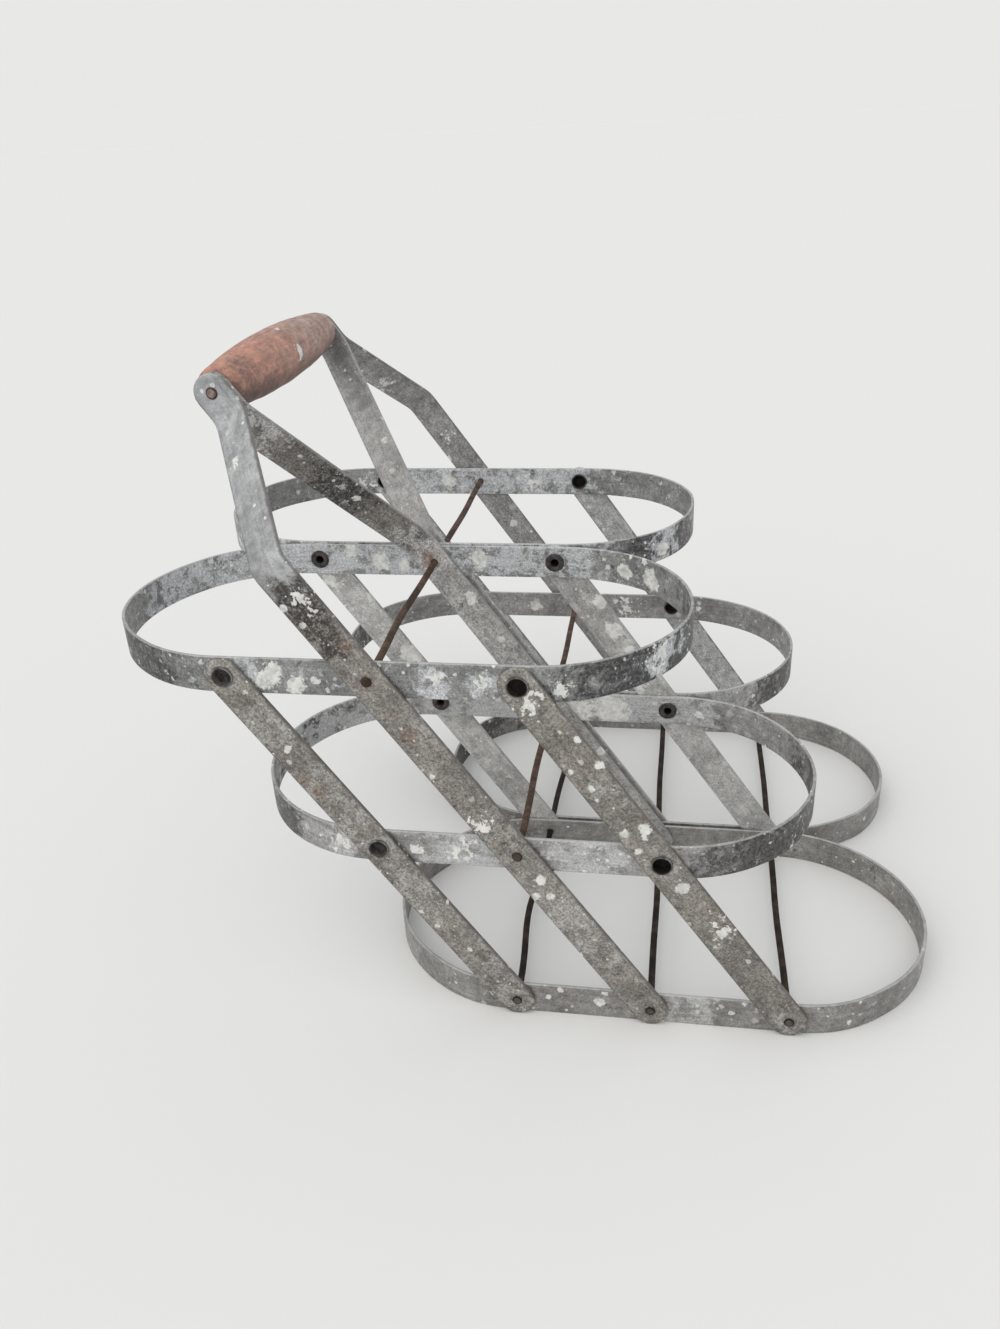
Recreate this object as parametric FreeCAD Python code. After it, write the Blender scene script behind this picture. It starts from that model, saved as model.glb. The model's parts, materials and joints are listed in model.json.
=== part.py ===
import FreeCAD, Part
import math
import os

from FreeCAD import Placement, Rotation, Vector

os.makedirs("parts", exist_ok=True)

# A folding carrier for four bottles: two rows of three hoops hang on upright straps, and the whole
# stack leans over as a parallelogram until it lies nearly flat. It is drawn leaning to the left.
# X runs along the hoops, Y from the front row to the back row and Z up, in millimetres.
# The origin is on the floor, under the centre of the middle tier.

# Linkage
pivot_spacing = 47.0  # between neighbouring straps of one plane
tier_spacing = 77.5  # between neighbouring tiers, along a strap
lean_angle = 35.0  # degrees from upright, towards -X

# Flat strip, one width for straps and hoops
strip_width = 12.5
strap_thickness = 1.6
band_thickness = 1.2

# Hoops, bent from strip that stands on edge
hoop_width = 100.0
hoop_side_margin = 3.0  # flat side of a hoop beyond its outer pivots

# Wires, peened over at both ends
wire_radius = 1.25
wire_head_radius = 1.8
wire_head_height = 0.5

# Hollow rivets, open at the front and closed by a head at the back
rivet_radius = 3.2
outer_rivet_bore_radius = 2.9
inner_rivet_bore_radius = 1.5  # between the rows, where the rivets are clinched tighter
rivet_rim_width = 0.4  # rim and head beyond the shank
rivet_rim_height = 0.5
rivet_head_height = 0.7
rivet_edge_radius = 0.3  # rounding of the rim, the head and the bore's mouth

# Handle
rod_reach = 96.0  # from the top tier to the rod, along the strap
outer_bend_reach = 46.0  # from the top tier to the bend of an outer arm
inner_bend_reach = 9.0  # from the top tier to the bend of an inner arm
end_bend_setback = 9.0  # from the bend at an arm's tip to the rod
bend_radius = 5.0  # inside radius of the bends
rod_radius = 1.5
rod_head_radius = 2.0
rod_head_height = 0.5
grip_length = 106.0
grip_radius = 10.3
grip_end_radius = 7.3
grip_edge_radius = 1.3

# Clearances
running_clearance = 0.06  # radial, of a pin in its hole
sliding_gap = 0.1  # between flat faces
grip_end_play = 1.5  # at each end of the grip
cut_overrun = 5.0  # how far a cutting tool passes the metal

# Columns of straps are counted from the centre, tiers from the floor
COLUMNS = {name: count - 1 for count, name in enumerate(("left", "centre", "right"))}
TIERS = {name: count for count, name in enumerate(("bottom", "middle", "top"))}
SIDES = {"front": -1, "back": 1}

# Sizes that follow
lean = math.radians(lean_angle)
strap_half = strip_width / 2
top_reach = TIERS["top"] * tier_spacing
rod_height = top_reach + rod_reach
hoop_half_side = pivot_spacing + hoop_side_margin
wire_hole_radius = wire_radius + running_clearance
rivet_hole_radius = rivet_radius + running_clearance
rod_hole_radius = rod_radius + running_clearance

# Layers behind the middle plane, by the distance of their faces from it; the front mirrors them
hoop_near = strap_thickness / 2 + sliding_gap
near_band_inside = hoop_near + band_thickness
hoop_far = hoop_near + hoop_width
far_band_inside = hoop_far - band_thickness
inner_strap_near = near_band_inside + sliding_gap
outer_strap_near = hoop_far + sliding_gap
outer_strap_far = outer_strap_near + strap_thickness
inner_tip_near = grip_length / 2 + grip_end_play
outer_tip_near = inner_tip_near + strap_thickness + sliding_gap
outer_tip_far = outer_tip_near + strap_thickness

ORIGIN = Vector(0, 0, 0)
ALONG_HOOPS = Vector(1, 0, 0)
ACROSS_ROWS = Vector(0, 1, 0)
UP = Vector(0, 0, 1)


def pivot(column, tier):
    """Where the pivot line of a strap column crosses the middle plane at a tier."""
    along = (tier - TIERS["middle"]) * tier_spacing
    up = tier * tier_spacing
    x = column * pivot_spacing - along * math.sin(lean)
    z = strap_half + up * math.cos(lean)
    return Vector(x, 0, z)


def on_side(shape, side):
    """A shape made for the back, kept there or mirrored to the front."""
    if side == SIDES["back"]:
        return shape
    return shape.mirror(ORIGIN, ACROSS_ROWS)


def leaning(shape, column):
    """An upright strap set on its bottom pivot and leant over."""
    placed = shape.copy()
    lean_over = Placement(pivot(column, TIERS["bottom"]), Rotation(ACROSS_ROWS, -lean_angle))
    placed.Placement = lean_over.multiply(shape.Placement)
    return placed


def drill(x, z, radius, depth):
    """A round tool along Y, reaching depth to either side of the middle plane."""
    return Part.makeCylinder(radius, 2 * depth, Vector(x, -depth, z), ACROSS_ROWS)


def rounded_path(points, radii):
    """Edges through the points, with each corner between two lines rounded to its radius."""
    edges = []
    start = points[0]
    for before, corner, after, radius in zip(points, points[1:], points[2:], radii):
        back = (before - corner).normalize()
        ahead = (after - corner).normalize()
        half_angle = back.getAngle(ahead) / 2
        tangent = radius / math.tan(half_angle)
        sagitta = radius / math.sin(half_angle) - radius
        inward = (back + ahead).normalize()
        arc_start = corner + back * tangent
        arc_end = corner + ahead * tangent
        edges.append(Part.makeLine(start, arc_start))
        edges.append(Part.Arc(arc_start, corner + inward * sagitta, arc_end).toShape())
        start = arc_end
    edges.append(Part.makeLine(start, points[-1]))
    return edges


def turned(edges):
    """A closed outline beside the Y axis, in the XY plane, turned into a solid."""
    outline = Part.Wire(Part.__sortEdges__(edges))
    return Part.Face(outline).revolve(ORIGIN, ACROSS_ROWS, 360)


def stadium(half_side, radius, along, across):
    """A face about the origin, of two straight sides joined by half circles."""
    side = along * half_side
    reach = along * (half_side + radius)
    width = across * radius
    edges = [
        Part.makeLine(-side - width, side - width),
        Part.Arc(side - width, reach, side + width).toShape(),
        Part.makeLine(side + width, -side + width),
        Part.Arc(-side + width, -reach, -side - width).toShape(),
    ]
    return Part.Face(Part.Wire(edges))


def hole_radius(column, tier):
    """Wires pass the centre column and the bottom tier; hollow rivets hold the other pivots."""
    if column == COLUMNS["centre"] or tier == TIERS["bottom"]:
        return wire_hole_radius
    return rivet_hole_radius


def hoop(tier):
    """One hoop of the back row: a strip ring on edge, drilled for the pivots of its tier."""
    outer_radius = hoop_width / 2
    outline = stadium(hoop_half_side, outer_radius, ALONG_HOOPS, ACROSS_ROWS)
    opening = stadium(hoop_half_side, outer_radius - band_thickness, ALONG_HOOPS, ACROSS_ROWS)
    band = outline.cut(opening).extrude(UP * strip_width)
    centre = pivot(COLUMNS["centre"], tier)
    band.translate(centre + Vector(0, hoop_near + outer_radius, -strap_half))
    for column in COLUMNS.values():
        place = pivot(column, tier)
        band = band.cut(drill(place.x, place.z, hole_radius(column, tier), outer_strap_far + cut_overrun))
    return band


def drilled_strap(strap, column):
    """An upright strap with a hole at each tier."""
    for tier in TIERS.values():
        tool = drill(0, tier * tier_spacing, hole_radius(column, tier), outer_strap_far + cut_overrun)
        strap = strap.cut(tool)
    return strap


def flat_strap(near, column):
    """A straight strap with round ends, from the bottom tier to the top tier."""
    plate = stadium(tier_spacing, strap_half, UP, ALONG_HOOPS).extrude(ACROSS_ROWS * strap_thickness)
    plate.translate(Vector(0, near, tier_spacing))
    return drilled_strap(plate, column)


def bent_strip(near, bend_reach, tip_near):
    """Strip with square ends that steps over from one layer to another in two bends."""
    run = rod_reach - end_bend_setback - bend_reach
    slope = math.atan2(tip_near - near, run)
    sides = []
    for depth in (0, strap_thickness):
        miter = depth * math.tan(slope / 2)
        side = [
            Vector(-strap_half, near + depth, -strap_half),
            Vector(-strap_half, near + depth, top_reach + bend_reach - miter),
            Vector(-strap_half, tip_near + depth, rod_height - end_bend_setback - miter),
            Vector(-strap_half, tip_near + depth, rod_height + strap_half),
        ]
        outside = strap_thickness - depth if slope > 0 else depth
        radii = [bend_radius + outside, bend_radius + strap_thickness - outside]
        sides.append((side, rounded_path(side, radii)))
    (near_side, near_edges), (far_side, far_edges) = sides
    foot = Part.makeLine(near_side[0], far_side[0])
    tip = Part.makeLine(near_side[-1], far_side[-1])
    profile = Part.Wire(Part.__sortEdges__(near_edges + far_edges + [foot, tip]))
    return Part.Face(profile).extrude(ALONG_HOOPS * strip_width)


def handle_strap(near, bend_reach, tip_near):
    """A centre strap that runs on above the top tier as an arm, bent over to the rod."""
    depth = outer_strap_far + cut_overrun
    round_ends = stadium(rod_height / 2, strap_half, UP, ALONG_HOOPS).extrude(ACROSS_ROWS * depth)
    round_ends.translate(UP * (rod_height / 2))
    strap = bent_strip(near, bend_reach, tip_near).common(round_ends)
    strap = strap.cut(drill(0, rod_height, rod_hole_radius, depth))
    return drilled_strap(strap, COLUMNS["centre"])


def peened_pin(radius, half_length, head_radius, head_height):
    """A round pin along Y with a domed head beyond each end."""
    dome_radius = (head_radius**2 + head_height**2) / (2 * head_height)
    half_angle = math.asin(head_radius / dome_radius) / 2
    shoulder_x = dome_radius * math.sin(half_angle)
    shoulder_drop = dome_radius * (1 - math.cos(half_angle))
    tip = half_length + head_height
    edges = [Part.makeLine(Vector(0, -tip, 0), Vector(0, tip, 0))]
    for end in (-1, 1):
        crown = Vector(0, end * tip, 0)
        shoulder = Vector(shoulder_x, end * (tip - shoulder_drop), 0)
        rim = Vector(head_radius, end * half_length, 0)
        neck = Vector(radius, end * half_length, 0)
        edges.append(Part.Arc(crown, shoulder, rim).toShape())
        edges.append(Part.makeLine(rim, neck))
    edges.append(Part.makeLine(Vector(radius, -half_length, 0), Vector(radius, half_length, 0)))
    return turned(edges)


def hollow_rivet(front, back, bore_radius):
    """A rivet along Y that clasps the layers from front to back, with its hollow open to the front."""
    rim_radius = rivet_radius + rivet_rim_width
    mouth = front - rivet_rim_height
    crown = back + rivet_head_height
    hollow = [
        Vector(0, back, 0),
        Vector(bore_radius, back, 0),
        Vector(bore_radius, mouth, 0),
        Vector(rim_radius, mouth, 0),
        Vector(rim_radius, front, 0),
    ]
    head = [Vector(rim_radius, back, 0), Vector(rim_radius, crown, 0), Vector(0, crown, 0)]
    edges = rounded_path(hollow, [rivet_edge_radius] * len(hollow[1:-1]))
    edges += rounded_path(head, [rivet_edge_radius])
    shank_front = Vector(rivet_radius, front, 0)
    shank_back = Vector(rivet_radius, back, 0)
    edges.append(Part.makeLine(hollow[-1], shank_front))
    edges.append(Part.makeLine(shank_front, shank_back))
    edges.append(Part.makeLine(shank_back, head[0]))
    edges.append(Part.makeLine(head[-1], hollow[0]))
    return turned(edges)


def wooden_grip():
    """A turned barrel, bored for the rod, with softened ends."""
    half = grip_length / 2
    edges = [
        Part.makeLine(Vector(rod_hole_radius, -half, 0), Vector(grip_end_radius, -half, 0)),
        Part.Arc(
            Vector(grip_end_radius, -half, 0),
            Vector(grip_radius, 0, 0),
            Vector(grip_end_radius, half, 0),
        ).toShape(),
        Part.makeLine(Vector(grip_end_radius, half, 0), Vector(rod_hole_radius, half, 0)),
        Part.makeLine(Vector(rod_hole_radius, half, 0), Vector(rod_hole_radius, -half, 0)),
    ]
    barrel = turned(edges)
    between = (rod_hole_radius + grip_end_radius) / 2
    rims = [edge for edge in barrel.Edges if edge.isClosed() and edge.Curve.Radius > between]
    return barrel.makeFillet(grip_edge_radius, rims)


parts = {}

# Hoops of both rows
for tier_name, tier in TIERS.items():
    for side_name, side in SIDES.items():
        parts[f"{tier_name}_{side_name}_hoop"] = on_side(hoop(tier), side)

# Straps of the left and right columns, outside the rows and between them
for column_name in ("left", "right"):
    column = COLUMNS[column_name]
    for side_name, side in SIDES.items():
        outer = on_side(flat_strap(outer_strap_near, column), side)
        parts[f"{side_name}_{column_name}_strap"] = leaning(outer, column)
    parts[f"inner_{column_name}_strap"] = leaning(flat_strap(-strap_thickness / 2, column), column)

# Straps of the centre column, which carry the handle
for side_name, side in SIDES.items():
    outer = handle_strap(outer_strap_near, outer_bend_reach, outer_tip_near)
    inner = handle_strap(inner_strap_near, inner_bend_reach, inner_tip_near)
    parts[f"{side_name}_handle_strap"] = leaning(on_side(outer, side), COLUMNS["centre"])
    parts[f"inner_{side_name}_handle_strap"] = leaning(on_side(inner, side), COLUMNS["centre"])

# Wires across both rows: three under the bottles, one between them at each upper tier
wire_places = {
    "bottom_left_wire": ("left", "bottom"),
    "bottom_centre_wire": ("centre", "bottom"),
    "bottom_right_wire": ("right", "bottom"),
    "middle_wire": ("centre", "middle"),
    "top_wire": ("centre", "top"),
}
for name, (column_name, tier_name) in wire_places.items():
    wire = peened_pin(wire_radius, outer_strap_far + sliding_gap, wire_head_radius, wire_head_height)
    wire.translate(pivot(COLUMNS[column_name], TIERS[tier_name]))
    parts[name] = wire

# Hollow rivets at the other pivots, through the layers of the front, the middle and the back plane
outer_near = far_band_inside - sliding_gap
outer_far = outer_strap_far + sliding_gap
inner_reach = near_band_inside + sliding_gap
rivet_planes = {
    "front": (-outer_far, -outer_near, outer_rivet_bore_radius),
    "inner": (-inner_reach, inner_reach, inner_rivet_bore_radius),
    "back": (outer_near, outer_far, outer_rivet_bore_radius),
}
for tier_name in ("middle", "top"):
    for column_name in ("left", "right"):
        for plane_name, plane in rivet_planes.items():
            rivet = hollow_rivet(*plane)
            rivet.translate(pivot(COLUMNS[column_name], TIERS[tier_name]))
            parts[f"{tier_name}_{plane_name}_{column_name}_rivet"] = rivet

# Handle rod and the wooden grip that turns on it
handle = {
    "handle_rod": peened_pin(rod_radius, outer_tip_far + sliding_gap, rod_head_radius, rod_head_height),
    "handle_grip": wooden_grip(),
}
for name, piece in handle.items():
    piece.translate(UP * rod_height)
    parts[name] = leaning(piece, COLUMNS["centre"])

for name, shape in parts.items():
    shape.exportStep(f"parts/{name}.step")
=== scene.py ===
import json
import math

import bmesh
import bpy
from mathutils import Matrix, Vector, noise


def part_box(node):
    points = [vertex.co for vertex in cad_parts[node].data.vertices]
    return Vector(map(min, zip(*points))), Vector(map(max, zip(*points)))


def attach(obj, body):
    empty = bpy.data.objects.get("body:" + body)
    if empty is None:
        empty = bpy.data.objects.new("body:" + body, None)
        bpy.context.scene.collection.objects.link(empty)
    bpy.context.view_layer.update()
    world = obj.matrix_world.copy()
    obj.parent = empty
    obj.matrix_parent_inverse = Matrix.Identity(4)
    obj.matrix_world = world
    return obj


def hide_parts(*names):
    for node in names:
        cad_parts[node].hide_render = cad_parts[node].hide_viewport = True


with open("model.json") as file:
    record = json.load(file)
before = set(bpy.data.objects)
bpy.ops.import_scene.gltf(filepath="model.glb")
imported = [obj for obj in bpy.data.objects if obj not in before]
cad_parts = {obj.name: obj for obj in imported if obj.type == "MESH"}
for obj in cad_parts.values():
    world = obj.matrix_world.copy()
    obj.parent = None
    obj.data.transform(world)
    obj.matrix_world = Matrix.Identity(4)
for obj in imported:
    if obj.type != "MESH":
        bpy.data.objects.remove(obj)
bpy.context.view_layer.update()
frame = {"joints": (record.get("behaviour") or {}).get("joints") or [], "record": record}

# Oval hoops
# Two rows of three hoops hold the bottles. Each is a galvanised steel strip bent round on edge and
# punched where the straps pivot on it. The zinc has gone dull and mottled, with white bloom, old
# paint splashes and rubbed edges, and the loops are knocked a little out of true.
upright = Vector((0, 0, 1))
joint_places = {joint["name"]: Vector(joint["pos_m"]) for joint in frame["joints"]}
body_of = {
    node: body for body, nodes in frame["record"]["behaviour"]["bodies"].items() for node in nodes
}
tier_centres = {
    "bottom": joint_places["fold"],
    "middle": joint_places["middle_tier_turn"],
    "top": joint_places["top_tier_turn"],
}
pivot_spacing = (joint_places["right_strap_turn"] - joint_places["fold"]).length
strip_width = 0.0125
band_thickness = 0.0012
band_edge_round = 0.0003
wire_hole_radius = 0.00131
rivet_hole_radius = 0.00326
loop_knock_in = 0.0016
loop_knock_up = 0.0012
loop_knock_length = 0.07
loop_knock_ease = 0.03
bright_edge = {"edge": (0.50, 0.505, 0.505, 1), "edge_share": 0.06}

# In a look, pale, dull, dark and stain are the tones of the zinc, and bloom, grime, rust and grit say
# how much of each it has all over; the grime is dark dirt, and at some of its spots a painted shade.
# Scatter is the share of cells of the size drop that hold a drop of paint. Edge is the tone of the
# long edges, rubbed bright on the hoops and darker on the straps as a painted shade of their shadowed
# sides, and edge_share says how far in it reaches. A spot is a place on the part and a reach, in metres.
hoop_looks = {
    "top": {
        "pale": (0.645, 0.66, 0.68, 1), "dull": (0.27, 0.27, 0.267, 1), "dark": (0.045, 0.045, 0.045, 1),
        "stain": (0.24, 0.19, 0.15, 1), "bloom": 0.28, "grime_and_shade": 0.36, "rust": 0.2, "grit": 0.6,
        "scatter": 0.32, "drop": 0.0045, **bright_edge,
        "blob_spots": {
            "close to the front centre strap": (-0.0614, -0.1009, 0.1321, 0.0032),
            "between the rows": (-0.0266, -0.0020, 0.1340, 0.007),
            "right end between the rows": (0.0299, -0.0086, 0.1325, 0.006),
            "inside the right loop": (0.0401, -0.0165, 0.1325, 0.008),
            "high left of the front centre strap": (-0.0748, -0.1009, 0.1350, 0.0075),
            "low left of the front centre strap": (-0.0777, -0.1009, 0.1316, 0.0065),
            "nearer the front centre strap": (-0.0685, -0.1009, 0.1306, 0.0065),
            "front of the back hoop's right loop": (0.0436, 0.0185, 0.1312, 0.007),
            "left end between the rows": (-0.0784, -0.0020, 0.1360, 0.006),
            "left half between the rows": (-0.0670, -0.0020, 0.1325, 0.007),
            "near the centre between the rows": (-0.0570, -0.0020, 0.1310, 0.005),
            "far side of the back hoop": (-0.0593, 0.0997, 0.1336, 0.007),
        },
        "flake_spots": {
            "left of the front centre strap": (-0.0765, -0.1009, 0.1335, 0.0070),
            "nearer the front centre strap": (-0.0685, -0.1009, 0.1306, 0.0060),
            "right of the front centre strap": (-0.0230, -0.1009, 0.1340, 0.007),
            "beside the front right rivet": (-0.0070, -0.1009, 0.1330, 0.006),
            "past the front right rivet": (0.0160, -0.1000, 0.1315, 0.007),
            "front of the right loop": (0.0445, -0.0820, 0.1350, 0.011),
            "further round the right loop": (0.0536, -0.0647, 0.1370, 0.006),
            "back of the back hoop": (-0.0200, 0.1009, 0.1330, 0.010),
            "back of the back hoop's left loop": (-0.1000, 0.0980, 0.1320, 0.009),
        },
        "bloom_spots": {
            "right of the front centre strap": (-0.0240, -0.1009, 0.1320, 0.010),
            "beside the front right rivet": (-0.0080, -0.1009, 0.1330, 0.009),
            "beside the front left rivet": (-0.0853, -0.1009, 0.1344, 0.008),
            "front of the right loop": (0.0440, -0.0825, 0.1335, 0.009),
            "further round the right loop": (0.0500, -0.0739, 0.1360, 0.008),
            "front of the back hoop's right loop": (0.0440, 0.0190, 0.1320, 0.014),
            "between the rows": (-0.0450, 0.0000, 0.1330, 0.095),
            "inside the left loop": (-0.1200, -0.0120, 0.1330, 0.060),
            "far side of the back hoop": (-0.0400, 0.1000, 0.1330, 0.080),
        },
        # The grime here darkens the loops' outer faces: partly real grime, partly a painted shade where
        # they turn away from the light.
        "grime_and_shade_spots": {
            "front of the right loop": (0.0480, -0.0780, 0.1310, 0.060),
            "front of the left loop": (-0.1240, -0.0900, 0.1310, 0.030),
            "front of the back hoop's right loop": (0.0450, 0.0180, 0.1310, 0.040),
        },
    },
    "middle": {
        "pale": (0.57, 0.575, 0.58, 1), "dull": (0.32, 0.315, 0.305, 1), "dark": (0.05, 0.048, 0.045, 1),
        "stain": (0.27, 0.22, 0.18, 1), "bloom": 0.35, "grime_and_shade": 0.30, "rust": 0.2, "grit": 0.5,
        "scatter": 0.38, "drop": 0.005, **bright_edge,
        "blob_spots": {
            "left half between the rows": (0.0112, -0.0020, 0.0680, 0.012),
            "high between the rows": (0.0069, -0.0020, 0.0720, 0.008),
            "between the rows": (0.0247, -0.0020, 0.0691, 0.013),
            "right end between the rows": (0.0599, -0.0020, 0.0690, 0.0045),
            "back of the back hoop": (-0.0200, 0.1009, 0.0690, 0.006),
        },
        "flake_spots": {
            "front of the left loop": (-0.0627, -0.0995, 0.0690, 0.008),
            "left of the front centre strap": (-0.0190, -0.1009, 0.0700, 0.009),
            "right of the front left rivet": (-0.0340, -0.1009, 0.0690, 0.007),
            "back of the back hoop": (0.0240, 0.1009, 0.0690, 0.010),
        },
        "bloom_spots": {
            "front of the left loop": (-0.0600, -0.0990, 0.0690, 0.009),
            "beside the front centre strap": (-0.0160, -0.1009, 0.0690, 0.024),
            "beside the front right rivet": (0.0240, -0.1009, 0.0690, 0.018),
            "between the rows": (0.0000, 0.0000, 0.0690, 0.100),
            "inside the left loop": (-0.0850, -0.0160, 0.0690, 0.060),
            "left end between the rows": (-0.0700, -0.0080, 0.0690, 0.020),
        },
        # The grime here darkens the loops' outer faces and the inside of the back hoop's left loop: partly
        # real grime, partly a painted shade.
        "grime_and_shade_spots": {
            "front of the right loop": (0.0920, -0.0760, 0.0680, 0.068),
            "front of the left loop": (-0.0880, -0.0830, 0.0660, 0.026),
            "inside the left loop": (-0.0960, -0.0360, 0.0690, 0.040),
            "back hoop's left loop": (-0.0960, 0.0350, 0.0690, 0.060),
            "front of the back hoop's right loop": (0.0900, 0.0280, 0.0690, 0.030),
        },
    },
    "bottom": {
        "pale": (0.54, 0.54, 0.53, 1), "dull": (0.29, 0.283, 0.268, 1), "dark": (0.055, 0.05, 0.046, 1),
        "stain": (0.27, 0.22, 0.18, 1), "bloom": 0.22, "grime_and_shade": 0.32, "rust": 0.3, "grit": 0.5,
        "scatter": 0.20, "drop": 0.004, **bright_edge,
        "blob_spots": {"beside the front centre strap": (0.0268, -0.1009, 0.0065, 0.0035)},
        "flake_spots": {"back of the back hoop": (0.0680, 0.1009, 0.0060, 0.008)},
        "bloom_spots": {"middle of the front side": (0.0550, -0.1009, 0.0060, 0.022)},
        "grime_and_shade_spots": {"back hoop's left loop": (-0.0520, 0.0450, 0.0060, 0.075)},
    },
}


def route_through(corners, radius):
    """A route of straight runs and round bends: its length, and its place and heading at a distance."""
    legs = []
    start = corners[0]
    for before, corner, after in zip(corners, corners[1:], corners[2:]):
        heading = (corner - before).normalized()
        leaving = (after - corner).normalized()
        turn = heading.angle(leaving)
        setback = radius * math.tan(turn / 2)
        bend_start = corner - heading * setback
        legs.append(((bend_start - start).length, start, heading, None))
        legs.append((radius * turn, bend_start, heading, heading.cross(leaving).normalized()))
        start = corner + leaving * setback
    heading = (corners[-1] - corners[-2]).normalized()
    legs.append(((corners[-1] - start).length, start, heading, None))

    def at(distance):
        for length, start, heading, axis in legs:
            if distance <= length:
                break
            distance -= length
        else:
            distance += length
        if axis is None:
            return start + heading * distance, heading
        inward = axis.cross(heading)
        turned = Matrix.Rotation(distance / radius, 3, axis)
        return start + (inward - turned @ inward) * radius, turned @ heading

    return sum(leg[0] for leg in legs), at


quads_across = 6
quad_length = 0.0025
ring_shares = (0, 0.35, 0.7, 1)
place_digits = 6


def punched_sheet(width, holes, square_ends=None):
    """A flat strip along X as a sheet of quads, with round holes given as (place, radius).

    Without square ends it stops in a half round about its first and its last hole."""
    sheet = bmesh.new()
    corners = {}
    half = width / 2

    def corner(x, y):
        key = round(x, place_digits), round(y, place_digits)
        if key not in corners:
            corners[key] = sheet.verts.new((x, y, 0))
        return corners[key]

    def ring(hole, share):
        place, radius = hole
        points = []
        for step in range(4 * quads_across):
            side, stop = divmod(step, quads_across)
            slide = half * (2 * stop / quads_across - 1)
            x, y = ((half, slide), (-slide, half), (-half, -slide), (slide, -half))[side]
            turn = math.atan2(y, x)
            at_an_end = (x < 0 and hole == holes[0]) or (x > 0 and hole == holes[-1])
            if at_an_end and not square_ends:
                x, y = half * math.cos(turn), half * math.sin(turn)
            inner_x, inner_y = radius * math.cos(turn), radius * math.sin(turn)
            points.append(corner(place + x + (inner_x - x) * share, y + (inner_y - y) * share))
        return points

    for hole in holes:
        rings = [ring(hole, share) for share in ring_shares]
        for outer, inner in zip(rings, rings[1:]):
            for step in range(len(outer)):
                sheet.faces.new((outer[step - 1], outer[step], inner[step], inner[step - 1]))
    stops = [place + side * half for place, _ in holes for side in (-1, 1)]
    stops = [square_ends[0], *stops, square_ends[1]] if square_ends else stops[1:-1]
    rows = [half * (2 * row / quads_across - 1) for row in range(quads_across + 1)]
    for start, end in zip(stops[::2], stops[1::2]):
        count = max(1, round((end - start) / quad_length))
        columns = [start + (end - start) * step / count for step in range(count + 1)]
        for left, right in zip(columns, columns[1:]):
            for low, high in zip(rows, rows[1:]):
                points = (left, low), (right, low), (right, high), (left, high)
                sheet.faces.new([corner(x, y) for x, y in points])
    return sheet


def new_object(name, shell):
    """A built mesh as an object in the scene."""
    mesh = bpy.data.meshes.new(name)
    shell.to_mesh(mesh)
    shell.free()
    piece = bpy.data.objects.new(name, mesh)
    bpy.context.collection.objects.link(piece)
    return piece


end_facing = 0.999
same_place = 1e-6
sharp_angle_radians = 1.0
edge_segments = 2
edge_profile = 0.5


def strip_piece(name, sheet, thickness, edge_round, at, across, knock=None):
    """A flat sheet given its thickness and worn edges, then laid along a route.

    Square ends are welded to each other, which closes a hoop. Its map named strip holds the distance
    along and across the strip, in metres."""
    reach = [min(vert.co.x for vert in sheet.verts), max(vert.co.x for vert in sheet.verts)]
    raised = bmesh.ops.extrude_face_region(sheet, geom=sheet.faces[:])["geom"]
    raised = [item for item in raised if isinstance(item, bmesh.types.BMVert)]
    bmesh.ops.translate(sheet, verts=raised, vec=upright * thickness)
    bmesh.ops.translate(sheet, verts=sheet.verts, vec=upright * -thickness / 2)
    bmesh.ops.recalc_face_normals(sheet, faces=sheet.faces)
    ends = [face for face in sheet.faces if abs(face.normal.x) > end_facing]
    ends = [face for face in ends if min(abs(face.calc_center_median().x - x) for x in reach) < same_place]
    closed = len(ends) == 2 * quads_across
    if closed:
        bmesh.ops.delete(sheet, geom=ends, context="FACES")
    rims = [
        edge for edge in sheet.edges if edge.is_manifold and edge.calc_face_angle() > sharp_angle_radians
    ]
    bmesh.ops.bevel(
        sheet, geom=rims, offset=edge_round, segments=edge_segments, profile=edge_profile, affect="EDGES"
    )
    strip_map = sheet.loops.layers.uv.new("strip")
    for face in sheet.faces:
        face.smooth = True
        for loop in face.loops:
            loop[strip_map].uv = loop.vert.co.xy
    for vert in sheet.verts:
        along, aside, proud = vert.co
        place, heading = at(along)
        outward = heading.cross(across)
        vert.co = place + across * aside + outward * proud
        if knock:
            vert.co += knock(place, outward)
    if closed:
        bmesh.ops.remove_doubles(sheet, verts=sheet.verts, dist=same_place)
    return new_object(name, sheet)


def fit_piece(piece, node, material):
    """Puts a finished piece in its node's place, moving with that node's body."""
    piece.data.materials.append(material)
    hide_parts(node)
    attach(piece, body_of[node])


def feed(tree, sockets, values):
    """Sets sockets by name, or links them where a value is itself a socket."""
    for name, value in values.items():
        if isinstance(value, bpy.types.NodeSocket):
            tree.links.new(value, sockets[name])
        else:
            sockets[name].default_value = value


def add_node(tree, kind, inputs=None, **settings):
    """A shader node with its settings made and its inputs fed."""
    node = tree.nodes.new("ShaderNode" + kind)
    for name, value in settings.items():
        setattr(node, name, value)
    feed(tree, node.inputs, inputs or {})
    return node


def cloud(tree, place, size, shift=None, stretch=None, detail=5, roughness=0.6, distortion=0.0):
    """Soft noise from 0 to 1 with patches of about the given size in metres.

    A shift keeps two patterns from following each other, and a stretch draws one out."""
    if shift or stretch:
        moves = {"Location": shift or (0, 0, 0), "Scale": stretch or (1, 1, 1)}
        place = add_node(tree, "Mapping", {"Vector": place, **moves}).outputs[0]
    settings = {"Vector": place, "Scale": 1 / size, "Detail": detail, "Roughness": roughness}
    return add_node(tree, "TexNoise", {**settings, "Distortion": distortion}).outputs[0]


def clouds(tree, place, patterns):
    """A soft noise for each named pattern."""
    return {name: cloud(tree, place, **pattern) for name, pattern in patterns.items()}


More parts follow.
